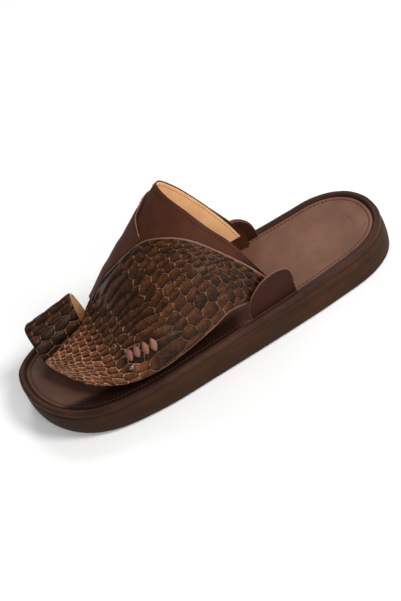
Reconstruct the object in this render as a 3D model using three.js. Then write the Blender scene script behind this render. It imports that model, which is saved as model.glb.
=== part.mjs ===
// A left men's leather sandal with a toe loop, in millimetres: +X to the toe, +Y to the outer
// side of the foot, +Z up. The origin is on the floor under the middle of the sole.
import * as THREE from 'three';

// Driving dimensions
const SOLE_LENGTH = 290;
const BALL_WIDTH = 112.6;
const BLOCK_HEEL = 24.2;
const BLOCK_TOE = 17.8;
const TOE_SPRING = 5.5;
const BLOCK_ROUND = 3.2;
const RIM_WIDTH = 6;
const RIM_HEIGHT = 5.2;
const INSOLE_MIDDLE = 2.2;
const INSOLE_LIP = 1.6;
const LIP_WIDTH = 14;
const CLEARANCE = 0.3;
const VAMP_RISE = 100.4;
const UPPER_WALL = 2;
const MEDIAL_WALL = 1.3;
const LEAF_WALL = 1.9;
const TAB_WALL = 2;
const TAB_HEIGHT = 25;
const LOOP_RISE = 38;
const LOOP_HALF_WIDTH = 16.2;
const LOOP_WALL = 1.8;
const LACE_HEIGHT = 9;
const LACE_WIDTH = 4.6;
const LACE_EDGE = 0.3;
const LACE_PROUD = 1.5;
const STUD_DIAMETER = 4;
const STUD_PROUD = 1;

// Shares of the sole's length where it stops being straight
const SPRING_START = 0.75;
const HEEL_ROUND = 0.157;
const TOE_ROUND = 0.24;
const ROUND_POWER = 2.2;
const HEEL_SHIFT = 0.013;
const TOE_SHIFT = -0.131;

// How many points and faces the round forms are made of
const RING = 104;
const UPPER_GRID = { rows: 24, columns: 28 };
const MEDIAL_GRID = { rows: 22, columns: 14 };
const LEAF_GRID = { rows: 36, columns: 12 };
const LOOP_GRID = { rows: 6, columns: 24 };
const TAB_GRID = { rows: 16, columns: 5 };
const LACE_GRID = { rows: 6, columns: 5 };
const STUD_SIDES = 14;

// Sole outline: along is a share of the length from the heel, the sides are shares of the ball width
const outlineTable = [
  { along: 0.00, lateral: 0.354, medial: 0.355 },
  { along: 0.12, lateral: 0.362, medial: 0.363 },
  { along: 0.25, lateral: 0.408, medial: 0.354 },
  { along: 0.40, lateral: 0.447, medial: 0.354 },
  { along: 0.55, lateral: 0.478, medial: 0.404 },
  { along: 0.68, lateral: 0.502, medial: 0.458 },
  { along: 0.80, lateral: 0.487, medial: 0.495 },
  { along: 0.90, lateral: 0.465, medial: 0.509 },
  { along: 1.00, lateral: 0.423, medial: 0.497 },
];

// Arches of the vamp: sides and ridge are shares of the ball width, crown a share of the vamp's rise
const vampTable = [
  { along: 0.260, lateral: 0.295, medial: 0.236, ridge: 0.100, crown: 1.340 },
  { along: 0.360, lateral: 0.310, medial: 0.243, ridge: 0.106, crown: 1.152 },
  { along: 0.465, lateral: 0.352, medial: 0.264, ridge: 0.113, crown: 0.983 },
  { along: 0.570, lateral: 0.387, medial: 0.329, ridge: 0.122, crown: 0.735 },
  { along: 0.670, lateral: 0.405, medial: 0.369, ridge: 0.128, crown: 0.497 },
  { along: 0.750, lateral: 0.390, medial: 0.366, ridge: 0.124, crown: 0.285 },
  { along: 0.825, lateral: 0.262, medial: 0.329, ridge: 0.107, crown: 0.205 },
  { along: 0.880, lateral: 0.080, medial: 0.302, ridge: 0.100, crown: 0.135 },
  { along: 0.930, lateral: -0.095, medial: 0.302, ridge: 0.100, crown: 0.070 },
];

// Edges on the vamp: across runs from -1 at the inner side over the ridge to 1 at the outer side
const collarTable = [
  { across: -1.00, along: 0.322 },
  { across: -0.92, along: 0.341 },
  { across: -0.80, along: 0.370 },
  { across: -0.64, along: 0.403 },
  { across: -0.44, along: 0.434 },
  { across: -0.20, along: 0.455 },
  { across: 0.00, along: 0.4605 },
  { across: 0.18, along: 0.453 },
  { across: 0.38, along: 0.429 },
  { across: 0.54, along: 0.403 },
  { across: 0.68, along: 0.372 },
  { across: 0.84, along: 0.345 },
  { across: 0.96, along: 0.321 },
];
const leafTable = [
  { along: 0.318, upper: 0.945, lower: 0.968 },
  { along: 0.334, upper: 0.905, lower: 0.966 },
  { along: 0.358, upper: 0.821, lower: 0.960 },
  { along: 0.405, upper: 0.668, lower: 0.946 },
  { along: 0.452, upper: 0.506, lower: 0.925 },
  { along: 0.500, upper: 0.354, lower: 0.938 },
  { along: 0.549, upper: 0.204, lower: 0.947 },
  { along: 0.598, upper: 0.108, lower: 0.955 },
  { along: 0.655, upper: 0.020, lower: 0.959 },
  { along: 0.703, upper: -0.080, lower: 0.934 },
  { along: 0.735, upper: -0.200, lower: 0.900 },
  { along: 0.758, upper: -0.150, lower: 0.878 },
  { along: 0.778, upper: 0.005, lower: 0.858 },
  { along: 0.828, upper: 0.052, lower: 0.828 },
  { along: 0.857, upper: 0.062, lower: 0.751 },
  { along: 0.878, upper: 0.072, lower: 0.654 },
  { along: 0.897, upper: 0.084, lower: 0.489 },
  { along: 0.909, upper: 0.096, lower: 0.200 },
];
const medialTable = [
  { along: 0.318, upper: -0.975, lower: -1.000 },
  { along: 0.358, upper: -0.850, lower: -1.000 },
  { along: 0.405, upper: -0.670, lower: -1.000 },
  { along: 0.451, upper: -0.460, lower: -1.000 },
  { along: 0.490, upper: -0.230, lower: -1.000 },
  { along: 0.514, upper: -0.090, lower: -1.000 },
  { along: 0.533, upper: -0.030, lower: -1.000 },
  { along: 0.5424, upper: 0.055, lower: -1.000 },
  { along: 0.553, upper: 0.165, lower: -1.000 },
  { along: 0.598, upper: 0.092, lower: -1.000 },
  { along: 0.655, upper: 0.004, lower: -1.000 },
  { along: 0.690, upper: -0.066, lower: -0.980 },
  { along: 0.715, upper: -0.140, lower: -0.800 },
  { along: 0.735, upper: -0.216, lower: -0.420 },
];

// Tabs seen from the side: along the sole from front to back, and the share of their height
const lateralTabTable = [
  { along: 0.411, top: 0.22 },
  { along: 0.400, top: 0.52 },
  { along: 0.386, top: 0.71 },
  { along: 0.360, top: 0.91 },
  { along: 0.333, top: 1.00 },
  { along: 0.306, top: 1.00 },
  { along: 0.283, top: 0.87 },
  { along: 0.277, top: 0.60 },
  { along: 0.282, top: 0.27 },
];
const medialTabTable = [
  { along: 0.400, top: 0.22 },
  { along: 0.388, top: 0.60 },
  { along: 0.370, top: 0.86 },
  { along: 0.345, top: 1.00 },
  { along: 0.322, top: 0.93 },
  { along: 0.304, top: 0.74 },
  { along: 0.293, top: 0.50 },
  { along: 0.289, top: 0.22 },
];

// Toe loop: centre as a share of the ball width, and its cut ends at each place across
const loopCentre = [
  { along: 0.78, centre: -0.290 },
  { along: 0.93, centre: -0.258 },
];
const loopEnds = [
  { across: -1.0, back: 0.773, front: 0.872 },
  { across: -0.5, back: 0.776, front: 0.908 },
  { across: 0.0, back: 0.781, front: 0.922 },
  { across: 0.5, back: 0.787, front: 0.921 },
  { across: 1.0, back: 0.792, front: 0.915 },
];
const LOOP_TAPER = 0.82;

// Laced bars and studs on the leaf panel
const laceTable = [
  { along: 0.7063, across: 0.659 },
  { along: 0.6880, across: 0.687 },
  { along: 0.6669, across: 0.719 },
  { along: 0.6466, across: 0.744 },
];
const studTable = [
  { along: 0.727, across: 0.492 },
  { along: 0.7175, across: 0.755 },
];

const colours = {
  block: 0x45301f,
  rim: 0x5a4034,
  insole: 0x795848,
  smooth: 0x4a2d24,
  scaled: 0x6b4527,
  stud: 0x3a2a24,
};

// A smooth curve through one column of a table, straight on beyond its ends
function column(table, key, name, at) {
  const last = table.length - 1;
  const rising = table[last][key] > table[0][key] ? 1 : -1;
  const slope = (i) => {
    const before = table[Math.max(i - 1, 0)];
    const after = table[Math.min(i + 1, last)];
    return (after[name] - before[name]) / (after[key] - before[key]);
  };
  if (rising * (at - table[0][key]) <= 0) {
    return table[0][name] + (at - table[0][key]) * slope(0);
  }
  if (rising * (at - table[last][key]) >= 0) {
    return table[last][name] + (at - table[last][key]) * slope(last);
  }
  let i = 0;
  while (rising * (at - table[i + 1][key]) > 0) i += 1;
  const span = table[i + 1][key] - table[i][key];
  const t = (at - table[i][key]) / span;
  const start = table[i][name] * (2 * t ** 3 - 3 * t ** 2 + 1);
  const leave = slope(i) * span * (t ** 3 - 2 * t ** 2 + t);
  const end = table[i + 1][name] * (3 * t ** 2 - 2 * t ** 3);
  const arrive = slope(i + 1) * span * (t ** 3 - t ** 2);
  return start + leave + end + arrive;
}

const clamp = (value, low, high) => Math.min(Math.max(value, low), high);
const lengthAt = (along) => (along - 0.5) * SOLE_LENGTH;
const floorLift = (along) =>
  TOE_SPRING * clamp((along - SPRING_START) / (1 - SPRING_START), 0, 1) ** 2;
const blockTop = (along) => BLOCK_HEEL + (BLOCK_TOE - BLOCK_HEEL) * along + floorLift(along);
const insoleTop = (along) => blockTop(along) + INSOLE_MIDDLE;

// Half widths of the sole at a station, with its round heel and toe
function soleSide(along, side) {
  const roundOff = (share) => (1 - clamp(share, 0, 1) ** ROUND_POWER) ** (1 / ROUND_POWER);
  const heel = (HEEL_ROUND - along) / HEEL_ROUND;
  const toe = (along - 1 + TOE_ROUND) / TOE_ROUND;
  const centre = HEEL_SHIFT * clamp(heel, 0, 1) + TOE_SHIFT * clamp(toe, 0, 1);
  const width = column(outlineTable, 'along', side > 0 ? 'lateral' : 'medial', along);
  const full = side * width - centre;
  return BALL_WIDTH * (centre + full * roundOff(heel) * roundOff(toe));
}

// The outline as a ring of points, from the heel along the outer side to the toe and back
function ringPoint(index) {
  const turn = ((index + RING) % RING) / RING * 2 * Math.PI;
  const along = (1 - Math.cos(turn)) / 2;
  return { along, x: lengthAt(along), y: soleSide(along, turn < Math.PI ? 1 : -1) };
}

function insetPoint(index, inset) {
  const here = ringPoint(index);
  const before = ringPoint(index - 1);
  const after = ringPoint(index + 1);
  const length = Math.hypot(after.x - before.x, after.y - before.y);
  const x = here.x + (after.y - before.y) / length * inset;
  const y = here.y - (after.x - before.x) / length * inset;
  return { x, y, along: x / SOLE_LENGTH + 0.5 };
}

// Makes a closed mesh of points and triangles, turned so that its faces point out
function closedMesh(points, faces) {
  let volume = 0;
  for (const [a, b, c] of faces) {
    volume += points[a].dot(points[b].clone().cross(points[c]));
  }
  const geometry = new THREE.BufferGeometry();
  const coordinates = points.flatMap((point) => point.toArray());
  geometry.setAttribute('position', new THREE.Float32BufferAttribute(coordinates, 3));
  geometry.setIndex(faces.flatMap((face) => (volume < 0 ? [...face].reverse() : face)));
  geometry.computeVertexNormals();
  return geometry;
}

// Rings of the sole's outline, one for each inset and height; the ends are capped or joined
function ringSolid(profile, width, heightAt, { edge = 0, joined = false } = {}) {
  const points = [];
  const faces = [];
  for (const row of profile) {
    for (let i = 0; i < RING; i += 1) {
      const spot = insetPoint(i, edge + row.inset * width);
      points.push(new THREE.Vector3(spot.x, spot.y, heightAt(row, spot.along)));
    }
  }
  const bands = joined ? profile.length : profile.length - 1;
  for (let k = 0; k < bands; k += 1) {
    const low = k * RING;
    const high = ((k + 1) % profile.length) * RING;
    for (let i = 0; i < RING; i += 1) {
      const j = (i + 1) % RING;
      faces.push([low + i, low + j, high + j], [low + i, high + j, high + i]);
    }
  }
  if (!joined) {
    const top = (profile.length - 1) * RING;
    for (let i = 0; i < RING / 2; i += 1) {
      const [a, b] = [i, i + 1];
      const [c, d] = [(RING - i) % RING, RING - i - 1];
      if (i > 0) faces.push([c, b, a], [top + a, top + b, top + c]);
      if (i < RING / 2 - 1) faces.push([c, d, b], [top + b, top + d, top + c]);
    }
  }
  return closedMesh(points, faces);
}

// A wall over a grid: place gives its point at u along, v across and depth 0 inside or 1 outside
function wall({ rows, columns }, place) {
  const points = [];
  const faces = [];
  const index = (i, j, depth) => (depth * (rows + 1) + i) * (columns + 1) + j;
  const quad = (a, b, c, d) => faces.push([a, b, c], [a, c, d]);
  for (const depth of [0, 1]) {
    for (let i = 0; i <= rows; i += 1) {
      for (let j = 0; j <= columns; j += 1) points.push(place(i / rows, j / columns, depth));
    }
  }
  for (let i = 0; i < rows; i += 1) {
    for (let j = 0; j < columns; j += 1) {
      quad(index(i, j, 1), index(i + 1, j, 1), index(i + 1, j + 1, 1), index(i, j + 1, 1));
      quad(index(i, j, 0), index(i, j + 1, 0), index(i + 1, j + 1, 0), index(i + 1, j, 0));
    }
    quad(index(i, 0, 0), index(i + 1, 0, 0), index(i + 1, 0, 1), index(i, 0, 1));
    quad(index(i, columns, 1), index(i + 1, columns, 1), index(i + 1, columns, 0), index(i, columns, 0));
  }
  for (let j = 0; j < columns; j += 1) {
    quad(index(0, j, 1), index(0, j + 1, 1), index(0, j + 1, 0), index(0, j, 0));
    quad(index(rows, j, 0), index(rows, j + 1, 0), index(rows, j + 1, 1), index(rows, j, 1));
  }
  return closedMesh(points, faces);
}

// The vamp's own surface: arches that fall from the ridge, gently outwards and steeply inwards
const LATERAL_POWER = 2.1;
const MEDIAL_POWER = 2.5;
function vampPoint(along, across) {
  const share = (name) => column(vampTable, 'along', name, along);
  const base = insoleTop(along) + INSOLE_LIP + CLEARANCE;
  const ridge = -share('ridge');
  const side = across > 0 ? share('lateral') - ridge : share('medial') + ridge;
  const reach = Math.sin(across * Math.PI / 2);
  const power = across > 0 ? LATERAL_POWER : MEDIAL_POWER;
  const arch = (1 - Math.abs(reach) ** power) ** (1 / power);
  return new THREE.Vector3(
    lengthAt(along),
    BALL_WIDTH * (ridge + side * reach),
    base + VAMP_RISE * share('crown') * arch,
  );
}

// A surface point moved out along its normal
function lifted(surface, along, across, offset) {
  const step = 0.002;
  const inside = clamp(across, 2 * step - 1, 1 - 2 * step);
  const forward = surface(along + step, inside).sub(surface(along - step, inside));
  const sideways = surface(along, inside + step).sub(surface(along, inside - step));
  const normal = forward.cross(sideways).normalize();
  return surface(along, across).addScaledVector(normal, offset);
}

const UPPER_OUTSIDE = UPPER_WALL / 2;
const OVERLAY_INSIDE = UPPER_OUTSIDE + CLEARANCE;
const MEDIAL_OUTSIDE = OVERLAY_INSIDE + MEDIAL_WALL;
const LEAF_OUTSIDE = OVERLAY_INSIDE + LEAF_WALL;
const lerp = THREE.MathUtils.lerp;

// The block's side swells out between two round edges: insets are shares of the bottom one
function makeBlock() {
  const profile = [
    { inset: 1, height: 0 },
    { inset: 0.34, height: 0.05 },
    { inset: 0.06, height: 0.16 },
    { inset: -0.12, height: 0.50 },
    { inset: 0.03, height: 0.90 },
    { inset: 0.37, height: 1 },
  ];
  const heightAt = (row, along) => lerp(floorLift(along), blockTop(along), row.height);
  return ringSolid(profile, BLOCK_ROUND, heightAt);
}

// The rolled leather rim that covers the footbed's edge: a round bead in section
function makeRim() {
  const profile = [
    { inset: 0.15, height: 0 },
    { inset: 0.03, height: 0.30 },
    { inset: 0.07, height: 0.62 },
    { inset: 0.23, height: 0.90 },
    { inset: 0.50, height: 1 },
    { inset: 0.77, height: 0.92 },
    { inset: 0.95, height: 0.62 },
    { inset: 1, height: 0 },
  ];
  const heightAt = (row, along) =>
    blockTop(along) + CLEARANCE + row.height * (RIM_HEIGHT - CLEARANCE);
  return ringSolid(profile, RIM_WIDTH, heightAt, { joined: true });
}

// The footbed is dished: its lip rises towards the rim over the lip's width
function makeInsole() {
  const profile = [
    { inset: 0, top: 0, lip: 0 },
    { inset: 0, top: 1, lip: 0.7 },
    { inset: 0.11, top: 1, lip: 1 },
    { inset: 0.43, top: 1, lip: 0.55 },
    { inset: 1, top: 1, lip: 0 },
  ];
  const heightAt = (row, along) =>
    blockTop(along) + lerp(CLEARANCE, INSOLE_MIDDLE, row.top) + row.lip * INSOLE_LIP;
  return ringSolid(profile, LIP_WIDTH, heightAt, { edge: RIM_WIDTH + CLEARANCE });
}

// The hollow upper: its collar follows the collar table back to the middle station, and its other
// edges stop short of the panels that cover them
const MIDDLE = 0.655;
const EDGE_SHORT = 0.018;
function makeUpper() {
  const start = leafTable[0].along;
  const end = leafTable[leafTable.length - 1].along - EDGE_SHORT / 3;
  const lowerAt = (along) => column(leafTable, 'along', 'lower', along) - EDGE_SHORT;
  const innerAt = (along) => {
    const medialEnd = medialTable[medialTable.length - 1].along;
    const medial = column(medialTable, 'along', 'lower', Math.min(along, medialEnd));
    const leaf = column(leafTable, 'along', 'upper', along) + EDGE_SHORT;
    return along < medialEnd ? medial : Math.max(medial, leaf);
  };
  const place = (u, v, depth) => {
    const offset = lerp(-UPPER_OUTSIDE, UPPER_OUTSIDE, depth);
    if (u <= 0.5) {
      const across = lerp(-1, lowerAt(MIDDLE), v);
      const collar = Math.max(column(collarTable, 'across', 'along', across), start);
      const along = lerp(collar, MIDDLE, 2 * u);
      const limit = Math.min(across, lowerAt(along));
      return lifted(vampPoint, along, lerp(across, limit, v), offset);
    }
    const along = lerp(MIDDLE, end, 2 * u - 1);
    return lifted(vampPoint, along, lerp(innerAt(along), lowerAt(along), v), offset);
  };
  return wall(UPPER_GRID, place);
}

// A panel of leather laid on the upper between the two edges of its table
function makePanel(table, grid, outside) {
  const start = table[0].along;
  const end = table[table.length - 1].along;
  const place = (u, v, depth) => {
    const along = lerp(start, end, u);
    const upper = column(table, 'along', 'upper', along);
    const lower = column(table, 'along', 'lower', along);
    return lifted(vampPoint, along, lerp(upper, lower, v), lerp(OVERLAY_INSIDE, outside, depth));
  };
  return wall(grid, place);
}

// The toe loop: a strap bent over the big toe, down to the insole on both sides
function loopPoint(along, across) {
  const centre = column(loopCentre, 'along', 'centre', along) * BALL_WIDTH;
  const forward = (along - loopCentre[0].along) / (loopCentre[1].along - loopCentre[0].along);
  const rise = LOOP_RISE * lerp(1, LOOP_TAPER, forward);
  const turn = across * Math.PI / 2;
  return new THREE.Vector3(
    lengthAt(along),
    centre + LOOP_HALF_WIDTH * Math.sin(turn),
    insoleTop(along) + INSOLE_LIP + CLEARANCE + rise * Math.cos(turn),
  );
}

function makeLoop() {
  const place = (u, v, depth) => {
    const across = lerp(-1, 1, v);
    const back = column(loopEnds, 'across', 'back', across);
    const front = column(loopEnds, 'across', 'front', across);
    return lifted(loopPoint, lerp(back, front, u), across, -LOOP_WALL * (1 - depth));
  };
  return wall(LOOP_GRID, place);
}

// A tab stands up from the seam between rim and insole, outside the end of the vamp
function makeTab(table, side, lean) {
  const last = table.length - 1;
  const place = (u, v, depth) => {
    const spot = u * last;
    const near = Math.min(Math.floor(spot), last - 1);
    const along = lerp(table[near].along, table[near + 1].along, spot - near);
    const top = lerp(table[near].top, table[near + 1].top, spot - near);
    const foot = lerp(table[0].along, table[last].along, u);
    const here = lerp(foot, along, v);
    const seam = Math.abs(soleSide(here, side)) - RIM_WIDTH - CLEARANCE;
    const height = lerp(0, top, v);
    const out = seam - lean * height - TAB_WALL * (1 - depth);
    const base = insoleTop(here) + INSOLE_LIP + CLEARANCE;
    return new THREE.Vector3(lengthAt(here), side * out, base + height * TAB_HEIGHT);
  };
  return wall(TAB_GRID, place);
}

// One bar of the lacing: an almond of leather that lies across the leaf panel
function makeLace(spot) {
  const inside = LEAF_OUTSIDE + CLEARANCE;
  const place = (u, v, depth) => {
    const reach = lerp(-1, 1, u);
    const half = LACE_WIDTH / 2 * (1 - 0.9 * reach ** 2);
    const swell = Math.cos(lerp(-1, 1, v) * Math.PI / 2) * (1 - reach ** 2);
    const along = spot.along + lerp(-half, half, v) / SOLE_LENGTH;
    const across = spot.across + reach * LACE_HEIGHT / 2 / BALL_WIDTH;
    return lifted(vampPoint, along, across, inside + depth * (LACE_EDGE + LACE_PROUD * swell));
  };
  return wall(LACE_GRID, place);
}

// A small domed stud
function makeStud() {
  const radius = STUD_DIAMETER / 2;
  const profile = [
    new THREE.Vector2(0, 0),
    new THREE.Vector2(radius, 0),
    new THREE.Vector2(radius * 0.9, STUD_PROUD * 0.5),
    new THREE.Vector2(radius * 0.5, STUD_PROUD),
    new THREE.Vector2(0, STUD_PROUD),
  ];
  return new THREE.LatheGeometry(profile, STUD_SIDES);
}

const group = new THREE.Group();

function add(name, geometry, colour, roughness) {
  const material = new THREE.MeshStandardMaterial({ color: colour, roughness, metalness: 0 });
  const mesh = new THREE.Mesh(geometry, material);
  mesh.name = name;
  group.add(mesh);
  return mesh;
}

add('sole_block', makeBlock(), colours.block, 0.75);
add('footbed_rim', makeRim(), colours.rim, 0.55);
add('insole', makeInsole(), colours.insole, 0.6);
add('upper', makeUpper(), colours.smooth, 0.5);
add('medial_panel', makePanel(medialTable, MEDIAL_GRID, MEDIAL_OUTSIDE), colours.smooth, 0.5);
add('leaf_panel', makePanel(leafTable, LEAF_GRID, LEAF_OUTSIDE), colours.scaled, 0.4);
add('toe_loop', makeLoop(), colours.scaled, 0.4);
add('tab_lateral', makeTab(lateralTabTable, 1, 1), colours.smooth, 0.5);
add('tab_medial', makeTab(medialTabTable, -1, 0), colours.smooth, 0.5);

laceTable.forEach((spot, index) => {
  add(`lace_bar_${index + 1}`, makeLace(spot), colours.smooth, 0.45);
});

studTable.forEach((spot, index) => {
  const mesh = add(`stud_${index + 1}`, makeStud(), colours.stud, 0.3);
  const foot = lifted(vampPoint, spot.along, spot.across, LEAF_OUTSIDE + CLEARANCE);
  const tip = lifted(vampPoint, spot.along, spot.across, LEAF_OUTSIDE + CLEARANCE + 1);
  mesh.position.copy(foot);
  mesh.quaternion.setFromUnitVectors(new THREE.Vector3(0, 1, 0), tip.sub(foot).normalize());
});

export default group;
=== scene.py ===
import math

import bpy
import numpy as np
from mathutils import Matrix, Vector


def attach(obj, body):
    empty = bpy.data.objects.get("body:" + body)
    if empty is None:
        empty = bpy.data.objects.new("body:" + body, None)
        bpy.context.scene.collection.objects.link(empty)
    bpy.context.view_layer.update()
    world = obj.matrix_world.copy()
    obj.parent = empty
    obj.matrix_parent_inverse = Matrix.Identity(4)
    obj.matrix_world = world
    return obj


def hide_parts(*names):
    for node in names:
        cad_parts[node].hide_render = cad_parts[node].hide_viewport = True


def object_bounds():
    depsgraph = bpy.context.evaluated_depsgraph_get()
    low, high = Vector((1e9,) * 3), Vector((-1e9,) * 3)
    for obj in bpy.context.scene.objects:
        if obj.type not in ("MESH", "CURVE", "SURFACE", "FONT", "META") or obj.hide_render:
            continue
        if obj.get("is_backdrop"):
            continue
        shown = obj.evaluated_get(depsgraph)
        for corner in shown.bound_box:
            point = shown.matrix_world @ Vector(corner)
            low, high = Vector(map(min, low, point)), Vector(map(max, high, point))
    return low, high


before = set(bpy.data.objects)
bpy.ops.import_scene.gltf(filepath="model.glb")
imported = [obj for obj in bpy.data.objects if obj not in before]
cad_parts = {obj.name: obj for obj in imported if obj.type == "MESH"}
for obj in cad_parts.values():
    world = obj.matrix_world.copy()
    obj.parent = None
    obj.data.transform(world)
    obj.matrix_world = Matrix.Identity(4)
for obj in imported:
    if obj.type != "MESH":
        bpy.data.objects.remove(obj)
cad_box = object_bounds()

# A left men's leather sandal with a toe loop. Sizes are in millimetres, as in its frame:
# +X to the toe, +Y to the outer side of the foot, +Z up. Meshes are written in metres.
MM = 0.001
TAU = 2 * math.pi

# Driving sizes of the shoe
SOLE_LENGTH = 290
BALL_WIDTH = 112.6
BLOCK_HEEL = 24.2
BLOCK_TOE = 17.8
TOE_SPRING = 5.5
BLOCK_ROUND = 3.2
RIM_WIDTH = 6
RIM_HEIGHT = 5.2
INSOLE_MIDDLE = 2.2
INSOLE_LIP = 1.6
LIP_WIDTH = 14
CLEARANCE = 0.3
VAMP_RISE = 100.4
UPPER_WALL = 2
MEDIAL_WALL = 1.3
LEAF_WALL = 1.9
TAB_WALL = 2
TAB_HEIGHT = 25
LOOP_RISE = 38
LOOP_HALF_WIDTH = 16.2
LOOP_WALL = 1.8
LOOP_TAPER = 0.82
LACE_HEIGHT = 9
LACE_WIDTH = 4.6
LACE_PROUD = 1.5
STUD_DIAMETER = 4
SPRING_START = 0.75
HEEL_ROUND = 0.157
TOE_ROUND = 0.24
ROUND_POWER = 2.2
HEEL_SHIFT = 0.013
TOE_SHIFT = -0.131
LATERAL_POWER = 2.1
MEDIAL_POWER = 2.5
MIDDLE = 0.655
EDGE_SHORT = 0.018
UPPER_OUTSIDE = UPPER_WALL / 2
OVERLAY_INSIDE = UPPER_OUTSIDE + CLEARANCE
MEDIAL_OUTSIDE = OVERLAY_INSIDE + MEDIAL_WALL
LEAF_OUTSIDE = OVERLAY_INSIDE + LEAF_WALL


def chart(names, *rows):
    """A short table: one array for each named column."""
    return dict(zip(names.split(), np.array(rows, float).T))


# Along is a share of the sole's length from the heel; sides are shares of the ball width
OUTLINE = chart(
    "along lateral medial",
    (0.00, 0.354, 0.355),
    (0.12, 0.362, 0.363),
    (0.25, 0.408, 0.354),
    (0.40, 0.447, 0.354),
    (0.55, 0.478, 0.404),
    (0.68, 0.502, 0.458),
    (0.80, 0.487, 0.495),
    (0.90, 0.465, 0.509),
    (1.00, 0.423, 0.497),
)
VAMP = chart(
    "along lateral medial ridge crown",
    (0.260, 0.295, 0.236, 0.100, 1.340),
    (0.360, 0.310, 0.243, 0.106, 1.152),
    (0.465, 0.352, 0.264, 0.113, 0.983),
    (0.570, 0.387, 0.329, 0.122, 0.735),
    (0.670, 0.405, 0.369, 0.128, 0.497),
    (0.750, 0.390, 0.366, 0.124, 0.285),
    (0.825, 0.262, 0.329, 0.107, 0.205),
    (0.880, 0.080, 0.302, 0.100, 0.135),
    (0.930, -0.095, 0.302, 0.100, 0.070),
)
# Across runs from -1 at the inner side over the ridge to 1 at the outer side
COLLAR = chart(
    "across along",
    (-1.00, 0.322),
    (-0.92, 0.341),
    (-0.80, 0.370),
    (-0.64, 0.403),
    (-0.44, 0.434),
    (-0.20, 0.455),
    (0.00, 0.4605),
    (0.18, 0.453),
    (0.38, 0.429),
    (0.54, 0.403),
    (0.68, 0.372),
    (0.84, 0.345),
    (0.96, 0.321),
)
LEAF = chart(
    "along upper lower",
    (0.318, 0.945, 0.968),
    (0.334, 0.905, 0.966),
    (0.358, 0.821, 0.960),
    (0.405, 0.668, 0.946),
    (0.452, 0.506, 0.925),
    (0.500, 0.354, 0.938),
    (0.549, 0.204, 0.947),
    (0.598, 0.108, 0.955),
    (0.655, 0.020, 0.959),
    (0.703, -0.080, 0.934),
    (0.735, -0.200, 0.900),
    (0.758, -0.150, 0.878),
    (0.778, 0.005, 0.858),
    (0.828, 0.052, 0.828),
    (0.857, 0.062, 0.751),
    (0.878, 0.072, 0.654),
    (0.897, 0.084, 0.489),
    (0.909, 0.096, 0.200),
)
INNER_PANEL = chart(
    "along upper lower",
    (0.318, -0.975, -1.000),
    (0.358, -0.850, -1.000),
    (0.405, -0.670, -1.000),
    (0.451, -0.460, -1.000),
    (0.490, -0.230, -1.000),
    (0.514, -0.090, -1.000),
    (0.533, -0.030, -1.000),
    (0.5424, 0.055, -1.000),
    (0.553, 0.165, -1.000),
    (0.598, 0.092, -1.000),
    (0.655, 0.004, -1.000),
    (0.690, -0.066, -0.980),
    (0.715, -0.140, -0.800),
    (0.735, -0.216, -0.420),
)
# Tabs: along the sole from front to back, and the share of their height
OUTER_TAB = chart(
    "along top",
    (0.411, 0.22),
    (0.400, 0.52),
    (0.386, 0.71),
    (0.360, 0.91),
    (0.333, 1.00),
    (0.306, 1.00),
    (0.283, 0.87),
    (0.277, 0.60),
    (0.282, 0.27),
)
INNER_TAB = chart(
    "along top",
    (0.400, 0.22),
    (0.388, 0.60),
    (0.370, 0.86),
    (0.345, 1.00),
    (0.322, 0.93),
    (0.304, 0.74),
    (0.293, 0.50),
    (0.289, 0.22),
)
LOOP_CENTRE = chart("along centre", (0.78, -0.290), (0.93, -0.258))
LOOP_ENDS = chart(
    "across back front",
    (-1.0, 0.773, 0.872),
    (-0.5, 0.776, 0.908),
    (0.0, 0.781, 0.922),
    (0.5, 0.787, 0.921),
    (1.0, 0.792, 0.915),
)
LACES = chart(
    "along across",
    (0.7063, 0.659),
    (0.6880, 0.687),
    (0.6669, 0.719),
    (0.6466, 0.744),
)
STUDS = chart("along across", (0.727, 0.492), (0.7175, 0.755))

# The skin's scales on the leaf: where columns of scales meet along the shoe, how they slant, and
# how far apart the rows lie across it. The widest column is the row of long belly scales.
SCALE_COLUMNS = chart(
    "along column",
    (0.300, -13.8),
    (0.340, -11.2),
    (0.390, -8.4),
    (0.440, -6.1),
    (0.490, -4.3),
    (0.530, -3.1),
    (0.567, -2.0),
    (0.604, -1.0),
    (0.690, 0.0),
    (0.721, 1.0),
    (0.749, 2.0),
    (0.797, 4.1),
    (0.840, 6.4),
    (0.880, 9.0),
    (0.920, 12.0),
)
COLUMN_SLANT = chart(
    "along slant",
    (0.30, 0.19),
    (0.45, 0.19),
    (0.50, 0.13),
    (0.60, 0.06),
    (0.69, 0.03),
    (0.80, 0.0),
    (0.92, 0.0),
)
SCALE_ROWS = chart(
    "along pitch",
    (0.300, 0.040),
    (0.378, 0.044),
    (0.440, 0.052),
    (0.530, 0.070),
    (0.600, 0.080),
    (0.690, 0.082),
    (0.720, 0.078),
    (0.760, 0.074),
    (0.810, 0.066),
    (0.874, 0.058),
    (0.920, 0.054),
)
BELLY_LEAN = chart(
    "along rise",
    (0.300, 0.0),
    (0.560, 0.0),
    (0.604, 0.02),
    (0.690, -0.09),
    (0.730, -0.11),
    (0.800, -0.11),
    (0.920, -0.10),
)
# Rows of scales counted across the belly column, closest together at its middle
ROW_PLACES = chart(
    "across row",
    (-0.30, -4.0),
    (0.00, 0.0),
    (0.20, 2.5),
    (0.40, 5.2),
    (0.60, 8.6),
    (0.75, 11.0),
    (0.87, 12.5),
    (1.00, 14.0),
)
BELLY_PITCH = 0.080

# Soft creases of the smooth leather: where they lie, then length, width and depth in mm
CREASES = chart(
    "along across length width depth",
    (0.440, 0.45, 40, 5.0, 0.28),
    (0.500, -0.40, 46, 4.5, 0.30),
    (0.575, -0.60, 52, 4.0, 0.32),
    (0.635, -0.70, 44, 3.5, 0.30),
)


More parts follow.
